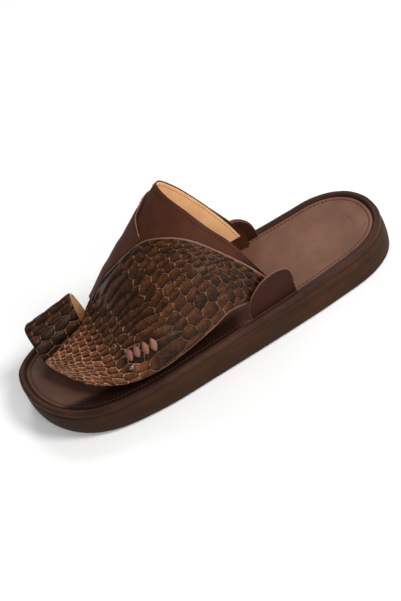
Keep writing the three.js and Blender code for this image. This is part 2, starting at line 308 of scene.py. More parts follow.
def curve(table, name, at):
    """A smooth curve through a column of a table against its first, straight beyond its ends."""
    x = next(iter(table.values()))
    y = table[name]
    slope = np.gradient(y, x)
    slope[1:-1] = (y[2:] - y[:-2]) / (x[2:] - x[:-2])
    at = np.asarray(at, float)
    i = np.clip(np.searchsorted(x, at, side="right") - 1, 0, len(x) - 2)
    span = x[i + 1] - x[i]
    t = np.clip((at - x[i]) / span, 0, 1)
    inside = y[i] * (2 * t**3 - 3 * t**2 + 1) + slope[i] * span * (t**3 - 2 * t**2 + t)
    inside += y[i + 1] * (3 * t**2 - 2 * t**3) + slope[i + 1] * span * (t**3 - t**2)
    below = np.minimum(at - x[0], 0) * slope[0]
    above = np.maximum(at - x[-1], 0) * slope[-1]
    return inside + below + above


def pair(table, first, second, at):
    """Two columns of a table at the same places."""
    return curve(table, first, at), curve(table, second, at)


def lerp(a, b, t):
    return a + (b - a) * t


def smooth(low, high, value):
    """0 below low, 1 above high and a soft step between them."""
    t = np.clip((value - low) / (high - low), 0, 1)
    return t * t * (3 - 2 * t)


def length_at(along):
    return (along - 0.5) * SOLE_LENGTH


def floor_lift(along):
    return TOE_SPRING * np.clip((along - SPRING_START) / (1 - SPRING_START), 0, 1) ** 2


def block_top(along):
    return BLOCK_HEEL + (BLOCK_TOE - BLOCK_HEEL) * along + floor_lift(along)


def insole_top(along):
    return block_top(along) + INSOLE_MIDDLE


def upper_foot(along):
    """The height that the upper's lower edges start from: the footbed's lip."""
    return insole_top(along) + INSOLE_LIP + CLEARANCE


def sole_side(along, side):
    """Where the sole's outline lies at a station, with its round heel and toe."""
    def round_off(share):
        return (1 - np.clip(share, 0, 1) ** ROUND_POWER) ** (1 / ROUND_POWER)
    heel = (HEEL_ROUND - along) / HEEL_ROUND
    toe = (along - 1 + TOE_ROUND) / TOE_ROUND
    centre = HEEL_SHIFT * np.clip(heel, 0, 1) + TOE_SHIFT * np.clip(toe, 0, 1)
    lateral, medial = pair(OUTLINE, "lateral", "medial", along)
    full = side * np.where(side > 0, lateral, medial) - centre
    return BALL_WIDTH * (centre + full * round_off(heel) * round_off(toe))


def outline(turn, inset):
    """A point of the sole's outline, moved in by the inset: x, y and its share along."""
    def spot(angle):
        along = (1 - np.cos(angle)) / 2
        side = np.where(np.mod(angle, TAU) < math.pi, 1, -1)
        return length_at(along), sole_side(along, side)
    step = 0.03
    x, y = spot(turn)
    x_before, y_before = spot(turn - step)
    x_after, y_after = spot(turn + step)
    reach = np.hypot(x_after - x_before, y_after - y_before)
    x = x + (y_after - y_before) / reach * inset
    y = y - (x_after - x_before) / reach * inset
    return x, y, x / SOLE_LENGTH + 0.5


def vamp(along, across):
    """The upper's middle surface: arches that fall from the ridge to both sides."""
    ridge = -curve(VAMP, "ridge", along)
    lateral = curve(VAMP, "lateral", along) - ridge
    medial = curve(VAMP, "medial", along) + ridge
    reach = np.sin(across * math.pi / 2)
    power = np.where(across > 0, LATERAL_POWER, MEDIAL_POWER)
    arch = np.clip(1 - np.abs(reach) ** power, 0, 1) ** (1 / power)
    y = BALL_WIDTH * (ridge + np.where(across > 0, lateral, medial) * reach)
    z = upper_foot(along) + VAMP_RISE * curve(VAMP, "crown", along) * arch
    return np.stack([length_at(along), y, z], -1)


def loop_surface(along, across):
    """The toe loop's outer surface: a strap bent over the big toe."""
    centre = curve(LOOP_CENTRE, "centre", along) * BALL_WIDTH
    first = LOOP_CENTRE["along"][0]
    forward = (along - first) / (LOOP_CENTRE["along"][1] - first)
    rise = LOOP_RISE * lerp(1, LOOP_TAPER, forward)
    turn = across * math.pi / 2
    y = centre + LOOP_HALF_WIDTH * np.sin(turn)
    return np.stack([length_at(along), y, upper_foot(along) + rise * np.cos(turn)], -1)


def normal_of(surface, along, across):
    step = 0.002
    inside = np.clip(across, 2 * step - 1, 1 - 2 * step)
    forward = surface(along + step, inside) - surface(along - step, inside)
    sideways = surface(along, inside + step) - surface(along, inside - step)
    normal = np.cross(forward, sideways)
    return normal / np.linalg.norm(normal, axis=-1, keepdims=True)


def lifted(surface, along, across, offset):
    """A point of a surface, moved out along its normal."""
    offset = np.broadcast_to(offset, np.shape(along))
    return surface(along, across) + normal_of(surface, along, across) * offset[..., None]


def crease_depth(along, across):
    """How far the soft creases sink the smooth leather at a point."""
    here = vamp(along, across)
    sunk = np.zeros(np.shape(along))
    for row in zip(*CREASES.values()):
        at, side, length, width, depth = row
        middle = vamp(np.array(at), np.array(side))
        away = here - middle
        run = away[..., 0] * 0.35 + away[..., 1] * 0.94 - away[..., 2] * 0.3
        beside = away[..., 0] * 0.94 - away[..., 1] * 0.3
        sunk += depth * np.exp(-(run / length * 2) ** 2 - (beside / width) ** 2)
        sunk -= 0.5 * depth * np.exp(-(run / length * 2) ** 2 - (beside / width - 1.6) ** 2)
    return sunk


# Mesh making


def select_only(piece):
    bpy.ops.object.select_all(action="DESELECT")
    piece.select_set(True)
    bpy.context.view_layer.objects.active = piece


def edit(piece, *steps):
    """Runs edit mode operators on the whole piece."""
    select_only(piece)
    bpy.ops.object.mode_set(mode="EDIT")
    bpy.ops.mesh.select_all(action="SELECT")
    for step, settings in steps:
        step(**settings)
    bpy.ops.object.mode_set(mode="OBJECT")


def weld(piece):
    edit(
        piece,
        (bpy.ops.mesh.remove_doubles, {"threshold": 0.02 * MM}),
        (bpy.ops.mesh.normals_make_consistent, {"inside": False}),
    )


def apply_modifier(piece, kind, **settings):
    select_only(piece)
    modifier = piece.modifiers.new(kind.title(), kind)
    for key, value in settings.items():
        setattr(modifier, key, value)
    bpy.ops.object.modifier_apply(modifier=modifier.name)


def shade_round(piece, degrees=None):
    """Smooth shading, with creases kept where faces meet at more than the given angle."""
    select_only(piece)
    if degrees:
        bpy.ops.object.shade_smooth_by_angle(angle=math.radians(degrees))
    else:
        bpy.ops.object.shade_smooth()


def sheet_of(name, rows, columns, place):
    """A grid whose corners are set on the surface that place gives, in mm."""
    bpy.ops.object.select_all(action="DESELECT")
    bpy.ops.mesh.primitive_grid_add(x_subdivisions=columns, y_subdivisions=rows, size=1)
    piece = bpy.context.object
    piece.name = name
    piece.data.name = name
    spots = np.zeros(len(piece.data.vertices) * 3)
    piece.data.vertices.foreach_get("co", spots)
    spots = spots.reshape(-1, 3)
    u = np.clip(spots[:, 1] + 0.5, 0, 1)
    v = np.clip(spots[:, 0] + 0.5, 0, 1)
    points, attributes = place(u, v)
    piece.data.vertices.foreach_set("co", (points * MM).ravel())
    for key, values in attributes.items():
        layer = piece.data.attributes.new(key, "FLOAT", "POINT")
        layer.data.foreach_set("value", values.astype(np.float32))
    piece.data.update()
    return piece


def flip_outwards(piece, outward):
    """Turns an open sheet's faces to look the way that outward points, in mm."""
    total = 0.0
    for face in piece.data.polygons:
        total += face.normal.dot(Vector(outward)) * face.area
    if total < 0:
        edit(piece, (bpy.ops.mesh.flip_normals, {}))


def wall_of(name, rows, columns, place, wall, outward=(0, 0.2, 1)):
    """A sheet with a wall's thickness behind its face, shaded smooth where its faces meet at under
    50 degrees.
    """
    piece = sheet_of(name, rows, columns, place)
    flip_outwards(piece, outward)
    apply_modifier(piece, "SOLIDIFY", thickness=wall * MM, offset=-1)
    shade_round(piece, 50)
    return piece


def dress(piece, finish, slot, *nodes):
    """Gives a piece its finish, its body and the nodes that it stands for."""
    piece.data.materials.clear()
    piece.data.materials.append(finish)
    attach(piece, "root")
    if nodes:
        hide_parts(*nodes)
    return piece


def stitches(name, points, normals, length, width, sink=0.35):
    """One sewn stitch, modelled once and copied along a row of points; gaps stay between."""
    bpy.ops.object.select_all(action="DESELECT")
    bpy.ops.mesh.primitive_uv_sphere_add(segments=8, ring_count=6, radius=1)
    stitch = bpy.context.object
    base = np.array([vertex.co[:] for vertex in stitch.data.vertices])
    faces = [list(face.vertices) for face in stitch.data.polygons]
    bpy.data.objects.remove(stitch)
    base *= (length / 2, width / 2, width / 2)
    along = np.gradient(points, axis=0)
    along /= np.linalg.norm(along, axis=1, keepdims=True)
    side = np.cross(normals, along)
    side /= np.linalg.norm(side, axis=1, keepdims=True)
    up = np.cross(along, side)
    corners = []
    polygons = []
    for i, middle in enumerate(points):
        start = i * len(base)
        turned = base @ np.stack([along[i], side[i], up[i]])
        corners.append(turned + middle + up[i] * width * (0.5 - sink))
        polygons.extend([[start + corner for corner in face] for face in faces])
    mesh = bpy.data.meshes.new(name)
    mesh.from_pydata(np.concatenate(corners) * MM, [], polygons)
    piece = bpy.data.objects.new(name, mesh)
    bpy.context.scene.collection.objects.link(piece)
    shade_round(piece)
    return piece


def evenly(points, pitch):
    """Spots a pitch apart along a fine line of points, as shares of its indices."""
    steps = np.linalg.norm(np.diff(points, axis=0), axis=1)
    run = np.concatenate([[0], np.cumsum(steps)])
    count = max(int(run[-1] / pitch), 2)
    return np.interp(np.linspace(0, run[-1], count), run, np.arange(len(points)))


def stitch_row(name, line, pitch, length, width, sink=0.35):
    """Stitches along a line; line gives points and normals for shares from 0 to 1."""
    fine = np.linspace(0, 1, 400)
    points, normals = line(fine)
    share = evenly(points, pitch) / (len(fine) - 1)
    points, normals = line(share)
    return stitches(name, points, normals, length, width, sink)


# The snakeskin's scales


def scale_field(column, row, mm_column, mm_row, seed, loose=0.1):
    """Cells of a staggered chart: distance to the cell's edge in mm, a tone for each cell,
    and where the point lies in its cell, from its own centre."""
    lowest = int(min(column.min(), row.min())) - 4
    size = int(max(column.max(), row.max())) - lowest + 5
    draw = np.random.default_rng(seed)
    shift = draw.uniform(-loose, loose, (size, size, 2))
    tone = draw.uniform(0, 1, (size, size))
    base_column = np.floor(column).astype(int)
    base_row = np.floor(row).astype(int)
    spots = []
    for i in range(-2, 3):
        for j in range(-2, 3):
            c = base_column + i
            r = base_row + j
            pick = (c - lowest, r - lowest)
            centre_c = c + 0.5 + shift[pick][..., 0]
            centre_r = r + 0.5 * (c % 2) + 0.25 + shift[pick][..., 1]
            spots.append((centre_c, centre_r, tone[pick]))
    centres = np.array([[spot[0], spot[1]] for spot in spots])
    tones = np.array([spot[2] for spot in spots])
    here = np.stack([column, row])
    away = ((centres - here) ** 2).sum(1)
    nearest = away.argmin(0)
    index = np.arange(len(column))
    own = centres[nearest, :, index].T
    least = away[nearest, index]
    edge = np.full(len(column), 9.0)
    for k in range(len(spots)):
        across = centres[k] - own
        gap = np.sqrt((across**2).sum(0))
        apart = gap > 1e-6
        gap = np.maximum(gap, 1e-6)
        unit = across / gap
        in_chart = (away[k] - least) / (2 * gap)
        per_mm = np.maximum(np.hypot(unit[0] / mm_column, unit[1] / mm_row), 1e-9)
        edge = np.where(apart, np.minimum(edge, in_chart / per_mm), edge)
    offset = here - own
    return edge, tones[nearest, index], offset[0], offset[1]


def scale_height(edge, below, lean, plump):
    """A scale's form: a raised rim round its upper side, a deep gap under its lower side and a
    soft cushion inside."""
    gap = np.exp(-(edge / 0.50) ** 2)
    rim = np.exp(-((edge - 0.22) / 0.30) ** 2)
    cushion = 1 - np.exp(-(edge / 1.5))
    return plump * (0.80 * cushion + 0.60 * rim * (1 - below) - 1.05 * gap * below) + lean


def grid_shares(u, v, rows, columns):
    """Shares for a face whose outermost ring of corners folds down over its cut edge."""
    i = np.rint(u * rows)
    j = np.rint(v * columns)
    folded = (i == 0) | (i == rows) | (j == 0) | (j == columns)
    inner_u = np.clip((i - 1) / (rows - 2), 0, 1)
    inner_v = np.clip((j - 1) / (columns - 2), 0, 1)
    return inner_u, inner_v, folded


LEAF_ROWS = 380
LEAF_COLUMNS = 216
# Roughly how many mm the leaf is long, and one unit across is on the leaf and at its laces
LEAF_LENGTH = 170
ACROSS_UNIT = 60
LACE_UNIT = 82
EDGE_DROP = 0.35


def leaf_chart(along, across):
    """Where a point of the leaf lies in the chart of scales, and a cell's size there in mm."""
    step = 0.001
    wave = 0.012 * np.sin(9 * across + 31 * along) + 0.006 * np.sin(43 * across - 25 * along)
    upper, lower = pair(LEAF, "upper", "lower", along)
    slant = curve(COLUMN_SLANT, "slant", along) * (across - (upper + lower) / 2)
    chart_along = along + slant + 0.25 * wave
    column = curve(SCALE_COLUMNS, "column", chart_along)
    ahead = curve(SCALE_COLUMNS, "column", chart_along + step)
    pitch = curve(SCALE_ROWS, "pitch", chart_along)
    lean = curve(BELLY_LEAN, "rise", chart_along) * (1.1 - np.clip(across, 0, 1))
    crowd = BELLY_PITCH / pitch
    still = curve(ROW_PLACES, "row", 0.75) * (1 - crowd) * smooth(0.72, 0.64, along)
    level = across - lean + wave
    row = curve(ROW_PLACES, "row", level) * crowd + still
    next_row = curve(ROW_PLACES, "row", level + step) * crowd + still
    side = vamp(along, across + step) - vamp(along, across - step)
    mm_row = np.linalg.norm(side, axis=-1) / 2 / np.maximum(next_row - row, 0.002)
    return column, row, step * SOLE_LENGTH / (ahead - column), mm_row


def leaf_place(u, v):
    share_u, share_v, folded = grid_shares(u, v, LEAF_ROWS, LEAF_COLUMNS)
    along = lerp(LEAF["along"][0], LEAF["along"][-1], share_u)
    upper, lower = pair(LEAF, "upper", "lower", along)
    across = lerp(upper, lower, share_v)
    column, row, mm_column, mm_row = leaf_chart(along, across)
    edge, tone, in_column, in_row = scale_field(column, row, mm_column, mm_row, seed=5)
    small = np.minimum(mm_column, mm_row)
    plump = np.clip(small / 5.5, 0.5, 1.05)
    below = smooth(0.02, 0.30, in_row - 0.25 * np.abs(in_column))
    height = scale_height(edge, below, 0.95 * in_row * plump, plump)
    border = np.minimum(share_v, 1 - share_v) * (lower - upper) * ACROSS_UNIT
    border = np.minimum(border, np.minimum(share_u, 1 - share_u) * LEAF_LENGTH)
    height = height * smooth(0, 2.2, border) - EDGE_DROP * (1 - smooth(0, 1.0, border))
    offset = np.where(folded, OVERLAY_INSIDE + 0.2, LEAF_OUTSIDE - 0.25 + height)
    points = lifted(vamp, along, across, offset)
    # Painted shade round each lace, where it passes through the leaf's slit
    slit = 0
    for at, side in zip(LACES["along"], LACES["across"]):
        near = ((along - at) * SOLE_LENGTH / 5.5) ** 2 + ((across - side) * LACE_UNIT / 6.5) ** 2
        slit = np.maximum(slit, 1.25 * np.exp(-near * near))
    attributes = {
        "edge": edge,
        "below": below,
        # fall: painted shade across each scale, darker towards its lower side
        "fall": np.clip(in_row + 0.5, 0, 1),
        "tone": tone,
        "warm": smooth(0.66, 0.84, along + 0.08 * across - 0.04),
        "cut": np.maximum(folded * 0.9, smooth(0.70, 0.35, border) * 0.55),
        # shade: darker towards the leaf's rear, and painted shade round the laces
        "shade": np.maximum(smooth(0.56, 0.32, along) * 0.7, slit),
    }
    return points, attributes


LOOP_ROWS = 150
LOOP_COLUMNS = 300
LOOP_SCALE = 12.5
LOOP_SCALE_WIDTH = LOOP_SCALE * 0.66
LOOP_GIRTH = 92
LOOP_LENGTH = 38


def loop_place(u, v):
    share_u, share_v, folded = grid_shares(u, v, LOOP_ROWS, LOOP_COLUMNS)
    across = lerp(-1, 1, share_v)
    back, front = pair(LOOP_ENDS, "back", "front", across)
    along = lerp(back, front, share_u)
    column = across * LOOP_GIRTH / 2 / LOOP_SCALE_WIDTH
    row = along * SOLE_LENGTH / LOOP_SCALE + 0.15 * np.sin(across * 7)
    sizes = (np.full(len(along), LOOP_SCALE_WIDTH), np.full(len(along), LOOP_SCALE))
    edge, tone, in_column, in_row = scale_field(column, row, *sizes, seed=11, loose=0.09)
    below = smooth(0.0, 0.3, in_column)
    border = np.minimum(share_u, 1 - share_u) * LOOP_LENGTH
    height = scale_height(edge, below, 0.55 * in_column, 1.0) * smooth(0, 2.0, border)
    height -= EDGE_DROP * (1 - smooth(0, 0.9, border))
    inside = -LOOP_WALL + 0.75
    points = lifted(loop_surface, along, across, np.where(folded, inside, height - 0.3))
    attributes = {
        "edge": edge,
        "below": below,
        # fall: painted shade across each scale, darker towards its lower side
        "fall": np.clip(in_column + 0.5, 0, 1),
        "tone": tone,
        "warm": 0 * edge,
        "cut": folded * 1.0,
        # shade: the loop darkened throughout, and more towards its outer side as painted shade
        "shade": 0.72 + 0.28 * smooth(0.1, 0.8, across),
    }
    return points, attributes


# Finishes


def tint(code):
    """A hex colour as the linear values that a shader takes."""
    parts = [int(code[i:i + 2], 16) / 255 for i in (0, 2, 4)]
    linear = [p / 12.92 if p <= 0.04045 else ((p + 0.055) / 1.055) ** 2.4 for p in parts]
    return (*linear, 1)


class Wire:
    """A socket that carries a value; sums and products of wires add their Math nodes."""

    def __init__(self, finish, socket):
        self.finish = finish
        self.socket = socket

    def math(self, operation, first, second):
        inputs = {0: first, 1: second}
        return self.finish.node("ShaderNodeMath", {"operation": operation}, inputs)

    def __add__(self, other):
        return self.math("ADD", self, other)

    def __radd__(self, other):
        return self.math("ADD", other, self)

    def __sub__(self, other):
        return self.math("SUBTRACT", self, other)

    def __rsub__(self, other):
        return self.math("SUBTRACT", other, self)

    def __mul__(self, other):
        return self.math("MULTIPLY", self, other)

    def __rmul__(self, other):
        return self.math("MULTIPLY", other, self)


class Finish:
    """One material: a principled shader, its constants, and the nodes that feed it."""

    def __init__(self, name, **constants):
        self.material = bpy.data.materials.new(name)
        self.material.use_nodes = True
        self.tree = self.material.node_tree
        self.shader = self.tree.nodes["Principled BSDF"]
        for key, value in constants.items():
            self.shader.inputs[key.replace("_", " ")].default_value = value

    def node(self, kind, settings=None, inputs=None, output=0):
        made = self.tree.nodes.new(kind)
        for key, value in (settings or {}).items():
            if key == "stops":
                self.set_stops(made.color_ramp, value)
            else:
                setattr(made, key, value)
        for key, value in (inputs or {}).items():
            self.feed(made.inputs[key], value)
        return Wire(self, made.outputs[output])

    def set_stops(self, ramp, stops):
        while len(ramp.elements) < len(stops):
            ramp.elements.new(0.5)
        for element, (position, colour) in zip(ramp.elements, stops):
            element.position = position
            element.color = colour

    def feed(self, socket, value):
        if isinstance(value, Wire):
            self.tree.links.new(value.socket, socket)
        else:
            socket.default_value = value

    def spot(self):
        return self.node("ShaderNodeTexCoord", output="Object")

    def carried(self, name):
        return self.node("ShaderNodeAttribute", {"attribute_name": name}, output="Fac")

    def noise(self, scale, detail=4.0, rough=0.6, stretch=None):
        place = self.spot()
        if stretch:
            inputs = {"Vector": place, "Scale": stretch}
            place = self.node("ShaderNodeMapping", inputs=inputs)
        inputs = {"Vector": place, "Scale": scale, "Detail": detail, "Roughness": rough}
        return self.node("ShaderNodeTexNoise", inputs=inputs)

    def pebbles(self, scale):
        inputs = {"Vector": self.spot(), "Scale": scale}
        settings = {"feature": "SMOOTH_F1"}
        return self.node("ShaderNodeTexVoronoi", settings, inputs, "Distance")

    def ramp(self, value, *stops):
        return self.node("ShaderNodeValToRGB", {"stops": stops}, {"Fac": value})

    def span(self, value, low, high, start=0.0, end=1.0):
        """A value's stretch from low to high, mapped to start and end and held there."""
        inputs = {"Value": value, 1: low, 2: high, 3: start, 4: end}
        return self.node("ShaderNodeMapRange", {"clamp": True}, inputs)

    def blend(self, share, first, second):
        settings = {"data_type": "RGBA", "blend_type": "MIX"}
        return self.node("ShaderNodeMix", settings, {0: share, 6: first, 7: second}, 2)

    def bump(self, height, distance):
        inputs = {"Height": height, "Distance": distance, "Strength": 1.0}
        return self.node("ShaderNodeBump", inputs=inputs)

    def paint(self, **wires):
        for key, value in wires.items():
            self.feed(self.shader.inputs[key.replace("_", " ")], value)
        return self.material


CUT_EDGE = "a67f6c"


def leather(name, dark, middle, light, gloss=(0.42, 0.62), grain=0.00012, coat=0.12):
    """Smooth hide: cloudy colour, fine pebbled grain and pores, and rubbed lighter patches."""
    finish = Finish(name, Coat_Roughness=0.35, Specular_IOR_Level=0.07)
    cloud = finish.noise(28, 5, 0.62)
    rub = finish.noise(9, 3, 0.5)
    fine = finish.noise(1500, 3, 0.7)
    cell = finish.pebbles(900)
    stops = ((0.30, tint(dark)), (0.52, tint(middle)), (0.74, tint(light)))
    colour = finish.ramp(cloud * 0.75 + rub * 0.25 + fine * 0.10 - 0.05, *stops)
    # The carried shade darkens the hide: painted shade under and beside the leaf on the footbed and
    # the upper, and a darker tone all over the tabs.
    colour = finish.blend(finish.carried("shade"), colour, tint("1c0d08"))
    colour = finish.blend(finish.carried("cut"), colour, tint(CUT_EDGE))
    low, high = gloss
    height = cell * 0.7 + fine * 0.5
    return finish.paint(
        Base_Color=colour,
        Roughness=finish.span(fine * 0.5 + cloud * 0.5, 0.3, 0.7, low, high),
        Coat_Weight=finish.span(rub, 0.35, 0.65, coat * 0.4, coat * 1.6),
        Normal=finish.bump(height, grain),
    )


def snakeskin(name):
    """Scaled hide: brown scales that differ, tan ridges with painted highlight on each scale's
    upper side, painted shade in the grooves and across each scale, painted shadow in the gaps under
    each scale, and warmer at the toe.
    """
    finish = Finish(name, Coat_Roughness=0.22, Specular_IOR_Level=0.08)
    edge = finish.carried("edge")
    below = finish.carried("below")
    warm = finish.carried("warm")
    cloud = finish.noise(230, 5, 0.7)
    patch = finish.noise(38, 3, 0.5)
    fleck = finish.noise(1000, 4, 0.7)
    streak = finish.noise(600, 3, 0.6, (0.35, 1, 1))
    mood = finish.carried("tone") * 0.14 + cloud * 0.75 + patch * 0.22
    # Painted shade: the carried fall darkens each scale towards its lower side
    mood = mood + streak * 0.25 - finish.carried("fall") * 0.38 - 0.04
    rear = finish.ramp(
        mood,
        (0.22, tint("190b05")),
        (0.40, tint("381e0d")),
        (0.58, tint("573118")),
        (0.80, tint("8e5731")),
    )
    front = finish.ramp(
        mood,
        (0.22, tint("3f1e11")),
        (0.42, tint("6c3b24")),
        (0.60, tint("925839")),
        (0.85, tint("c2835b")),
    )
    body = finish.blend(warm, rear, front)
    body = finish.blend(finish.span(fleck, 0.48, 0.78, 0.0, 0.7), body, tint("1f1008"))
    # The carried shade: painted shade round the laces and on the loop's outer side, and a darker
    # tone at the leaf's rear and over the whole loop
    body = finish.blend(finish.carried("shade") * 0.75, body, tint("120805"))
    # Painted shade in the grooves round each scale, less at the toe
    groove = finish.span(edge, 0.45, 1.25, 0.8, 0.0) * (1 - warm * 0.75)
    body = finish.blend(groove, body, tint("170a05"))
    # Tan ridges round each scale, lightened only on its upper side as painted highlight
    rim = finish.span(edge, 0.14, 0.46, 1.0, 0.0) * (1 - below * 0.9)
    ridge = finish.blend(warm, tint("a0704f"), tint("e6b492"))
    body = finish.blend(rim * finish.span(cloud, 0.32, 0.66, 0.15, 0.95), body, ridge)
    # Painted shadow in the gap under each scale's lower side
    gap = finish.span(edge, 0.25, 0.80, 1.0, 0.0) * below
    body = finish.blend(gap * 0.9, body, tint("0c0503"))
    body = finish.blend(finish.carried("cut") * 0.8, body, tint("a87c66"))
    return finish.paint(
        Base_Color=body,
        Roughness=finish.span(fleck + gap * 0.5, 0.35, 0.95, 0.28, 0.62),
        Coat_Weight=finish.span(fleck, 0.45, 0.62, 0.0, 0.38),
        Normal=finish.bump(streak * 0.6 + fleck * 0.5, 0.0003),
    )


def block_finish():
    """The layered block of the sole: dark brown, matte, with faint lines along its layers."""
    finish = Finish("stacked_sole", Specular_IOR_Level=0.1)
    layer = finish.noise(60, 4, 0.6, (0.12, 0.12, 9))
    cloud = finish.noise(35, 5, 0.6)
    speck = finish.noise(2200, 2, 0.7)
    mood = layer * 0.45 + cloud * 0.4 + speck * 0.2
    stops = ((0.34, tint("23130b")), (0.52, tint("352012")), (0.72, tint("492e1c")))
    return finish.paint(
        Base_Color=finish.ramp(mood, *stops),
        Roughness=finish.span(mood, 0.3, 0.7, 0.55, 0.75),
        Normal=finish.bump(layer * 0.5 + speck * 0.5, 0.00012),
    )


def lining_finish():
    """Undyed calf lining: light tan, faintly cloudy, with a close nap."""
    finish = Finish("tan_lining", Specular_IOR_Level=0.3)
    nap = finish.noise(1800, 3, 0.75)
    cloud = finish.noise(40, 4, 0.6)
    stops = ((0.30, tint("d29a66")), (0.50, tint("edb883")), (0.72, tint("fbd3a4")))
    return finish.paint(
        Base_Color=finish.ramp(cloud * 0.7 + nap * 0.3, *stops),
        Roughness=finish.span(nap, 0.3, 0.7, 0.62, 0.85),
        Normal=finish.bump(nap, 0.00010),
    )


def thread_finish(name, dark, light):
    """Waxed thread with its twist."""
    finish = Finish(name, Specular_IOR_Level=0.35)
    twist = finish.noise(2600, 2, 0.6)
    stops = ((0.35, tint(dark)), (0.65, tint(light)))
    return finish.paint(
        Base_Color=finish.ramp(twist, *stops),
        Roughness=finish.span(twist, 0.3, 0.7, 0.5, 0.7),
        Normal=finish.bump(twist, 0.0002),
    )


def stud_finish():
    """Small stud of browned metal, brighter where it is rubbed."""
    finish = Finish("browned_metal", Specular_IOR_Level=0.6)
    wear = finish.noise(700, 4, 0.6)
    return finish.paint(
        Base_Color=finish.ramp(wear, (0.35, tint("3a2a22")), (0.7, tint("a08a78"))),
        Metallic=finish.span(wear, 0.2, 0.6, 0.7, 1.0),
        Roughness=finish.span(wear, 0.3, 0.7, 0.22, 0.45),
        Normal=finish.bump(wear, 0.00005),
    )


smooth_hide = leather("smooth_brown_leather", "3a1d13", "4a281b", "5a3525", coat=0.03)
footbed_hide = leather("footbed_leather", "5c4032", "714f40", "80604f", (0.5, 0.66), 0.00010, 0.04)
rim_hide = leather("rim_leather", "2a1711", "3a221a", "4c3125", (0.42, 0.58), 0.00010, 0.06)
lace_hide = leather("lace_leather", "613c2e", "855a48", "a57a66", (0.34, 0.48), 0.00008, 0.25)
edge_hide = leather("cut_edge", "8a6252", "ad8271", "c79c8a", (0.55, 0.7), 0.00010, 0.0)
skin = snakeskin("snakeskin")
sole_hide = block_finish()
tan = lining_finish()
dark_thread = thread_finish("dark_thread", "150b08", "2e1b13")
brown_thread = thread_finish("brown_thread", "35211a", "6a4a3c")
footbed_thread = thread_finish("footbed_thread", "25130d", "472a1f")


# Sole, rim and footbed


def section_solid(name, stations, profile, shade=None):
    """A solid of the sole's outline. Each row of the profile, from the bottom's middle round the
    side to the top's middle, gives an inset, a share towards the middle and a height."""
    halves = len(profile)

    def place(u, v):
        station = np.rint(u * stations)
        spin = station / stations * math.pi
        index = np.rint(v * (2 * halves)).astype(int) % (2 * halves)
        left = index < halves
        step = np.where(left, index, 2 * halves - 1 - index)
        points = np.zeros((len(u), 3))
        for k, (inset, inward, height) in enumerate(profile):
            pick = step == k
            turn = np.where(left[pick], spin[pick], TAU - spin[pick])
            x, y, along = outline(turn, inset)
            far_x, far_y, far_along = outline(TAU - turn, inset)
            middle_y = (y + far_y) / 2
            points[pick, 0] = x
            points[pick, 1] = lerp(y, middle_y, inward)
            points[pick, 2] = height(along)
        attributes = {"shade": shade(points)} if shade else {}
        return points, attributes

    piece = sheet_of(name, stations, 2 * halves, place)
    weld(piece)
    shade_round(piece, 40)
    return piece


# Levels of the block's section as shares of its height, closest at its rounded edges
BLOCK_LEVELS = (0, 0.015, 0.04, 0.08, 0.13, 0.2, 0.3, 0.42, 0.54, 0.66, 0.77, 0.86, 0.92, 0.96, 1)


def make_block():
    side = chart(
        "height inset",
        (0, 1),
        (0.05, 0.34),
        (0.16, 0.06),
        (0.50, -0.12),
        (0.90, 0.03),
        (1, 0.37),
    )

    def level(share):
        return lambda along: lerp(floor_lift(along), block_top(along), share)

    profile = [(BLOCK_ROUND, inward, level(0)) for inward in (1, 0.75, 0.5, 0.25)]
    for share in BLOCK_LEVELS:
        inset = BLOCK_ROUND * float(curve(side, "inset", share))
        profile.append((inset, 0, level(share)))
    profile += [(BLOCK_ROUND, inward, level(1)) for inward in (0.1, 0.5, 1)]
    piece = section_solid("sole_block_stack", 150, profile)
    dress(piece, sole_hide, "sole", "sole_block")


RIM_SECTION = chart(
    "step inset height",
    (0, 0.15, 0),
    (1, 0.03, 0.30),
    (2, 0.07, 0.62),
    (3, 0.23, 0.90),
    (4, 0.50, 1),
    (5, 0.77, 0.92),
    (6, 0.95, 0.62),
    (7, 1, 0),
)
LAP_TURN = 0.68
RIM_WALL = 0.9


def rim_place(u, v):
    """The bead's round section, with one lap where the wrap's end covers its start."""
    turn = u * TAU
    step = v * 7
    inset, height = pair(RIM_SECTION, "inset", "height", step)
    inset = inset * RIM_WIDTH
    height = height * (RIM_HEIGHT - CLEARANCE)
    lap = np.where(turn > LAP_TURN, np.exp(-(turn - LAP_TURN) / 0.25), 0)
    lap *= smooth(0, 0.12, turn - LAP_TURN + 0.12)
    proud = 0.45 * lap + 0.05 * np.sin(turn * 31) + 0.04 * np.sin(turn * 17 + 2)
    middle = RIM_WIDTH / 2
    inset = middle + (inset - middle) * (1 + proud / middle)
    x, y, along = outline(turn, inset)
    z = block_top(along) + CLEARANCE + height * (1 + proud / RIM_HEIGHT)
    return np.stack([x, y, z], -1), {}


def make_rim():
    piece = sheet_of("rim_bead", 420, 28, rim_place)
    weld(piece)
    flip_outwards(piece, (0, 0, 1))
    apply_modifier(piece, "SOLIDIFY", thickness=RIM_WALL * MM, offset=-1)
    shade_round(piece, 60)
    dress(piece, rim_hide, "rim_leather", "footbed_rim")


SEAM_INSET = 9.0
# Insets of the footbed's section, closest at the seam's groove
SEAM_STEPS = (6.5, 6.9, 7.3, 7.7, 8.1, 8.4, 8.7, 9, 9.3, 9.6, 9.9, 10.3)


def lip_height(inset, along):
    """The dished footbed: its lip, and the groove that the seam is sunk in."""
    lip = chart(
        "share lip",
        (0, 0.7),
        (0.11, 1),
        (0.43, 0.55),
        (1, 0),
    )
    share = np.clip((inset - RIM_WIDTH - CLEARANCE) / LIP_WIDTH, 0, 1)
    groove = 0.55 * math.exp(-((inset - SEAM_INSET) / 0.9) ** 2)
    return insole_top(along) + INSOLE_LIP * float(curve(lip, "lip", share)) - groove


